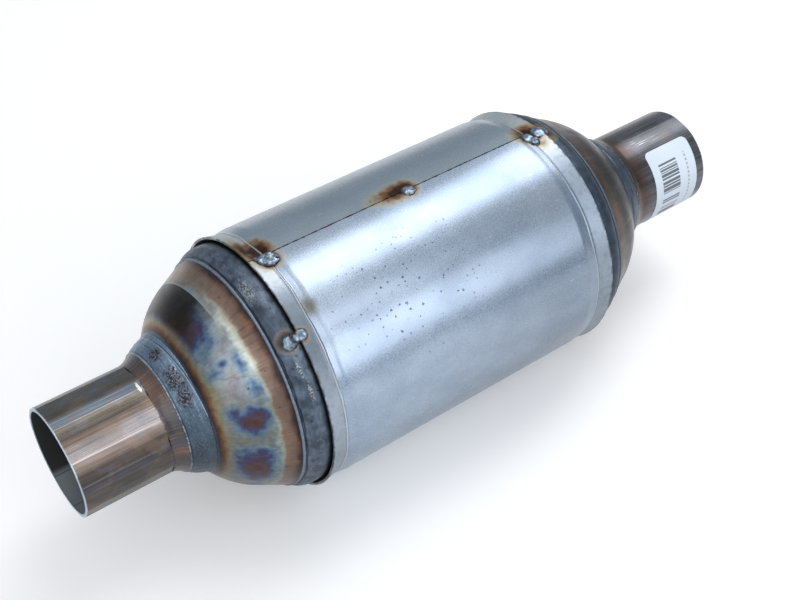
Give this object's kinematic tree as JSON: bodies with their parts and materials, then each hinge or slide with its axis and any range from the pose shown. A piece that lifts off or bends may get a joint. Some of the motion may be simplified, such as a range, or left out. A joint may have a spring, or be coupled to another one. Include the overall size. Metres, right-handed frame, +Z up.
{
  "type": "catalytic converter",
  "caption": "Weld-in catalytic converter: round can with a ceramic honeycomb core, dished cones, slip-joint stubs and a wrapped sheet heat shield.",
  "frame": {"origin": "centre of the inlet stub's open mouth", "axes": "+X along the gas path from the inlet to the outlet, +Z up through the shield's lengthwise seam, +Y to the left of the flow"},
  "size_m": [0.3389, 0.1162, 0.1168],
  "materials": {
    "inlet_pipe_steel": "drawn tube, warm grey with light lengthwise streaks, satin",
    "outlet_pipe_steel": "drawn tube, dark grey-brown with fine scratches, satin",
    "cone_steel": "pressed steel with straw, blue, purple and brown heat tint",
    "neck_weld_steel": "slate-blue weld fillet with dark spatter, semi-matt",
    "ring_weld_steel": "smooth blue-grey weld bead, satin",
    "can_steel": "dark blue-grey oxidised sheet, semi-matt",
    "core_ceramic": "unglazed honeycomb ceramic, matt, grey-beige wash",
    "mat_fibre": "fibre mat, matt",
    "seal_mesh": "knitted wire mesh",
    "shield_steel": "aluminised sheet, satin with soft bluish reflections and small dark specks",
    "tack_steel": "solidified weld metal, bright blue-grey, lumpy",
    "label_film": "white stick-on label, semi-gloss, with plain grey bars"
  },
  "bodies": {
    "root": {"inlet_pipe": "inlet_pipe_steel", "outlet_pipe": "outlet_pipe_steel", "inlet_cone": "cone_steel", "outlet_cone": "cone_steel", "inlet_neck_weld": "neck_weld_steel", "outlet_neck_weld": "neck_weld_steel", "inlet_ring_weld": "ring_weld_steel", "outlet_ring_weld": "ring_weld_steel", "canister": "can_steel", "ceramic_core": "core_ceramic", "support_mat": "mat_fibre", "inlet_mat_seal": "seal_mesh", "outlet_mat_seal": "seal_mesh", "heat_shield": "shield_steel", "inlet_seam_tack": "tack_steel", "outlet_seam_tack": "tack_steel", "seam_plug_weld": "tack_steel", "inlet_edge_tacks": "tack_steel", "outlet_edge_tacks": "tack_steel", "label": "label_film"}
  },
  "joints": []
}
